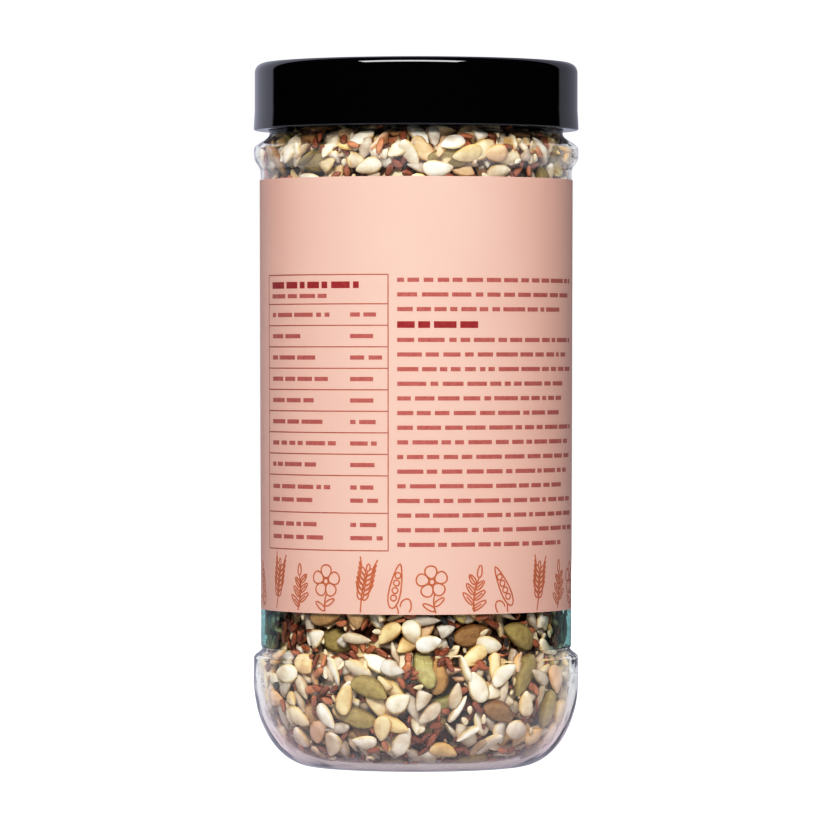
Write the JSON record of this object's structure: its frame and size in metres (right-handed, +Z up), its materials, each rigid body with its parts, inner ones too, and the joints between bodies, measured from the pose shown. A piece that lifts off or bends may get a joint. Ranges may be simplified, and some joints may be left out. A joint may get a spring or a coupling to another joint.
{
  "type": "jar of mixed seeds",
  "caption": "Tall round clear jar filled with mixed seeds, with a glossy black screw cap and a printed wrap label.",
  "frame": {"origin": "centre of the contact ring that the jar stands on", "axes": "+Z up along the jar's axis, -Y towards the pictured side of the label"},
  "size_m": [0.0906, 0.0906, 0.1956],
  "materials": {
    "clear_pet": "gloss",
    "black_cap": "gloss",
    "label_film": "satin",
    "seed_mix": "matte"
  },
  "bodies": {
    "root": {"jar": "clear_pet", "cap": "black_cap", "label": "label_film", "seeds": "seed_mix"}
  },
  "joints": []
}
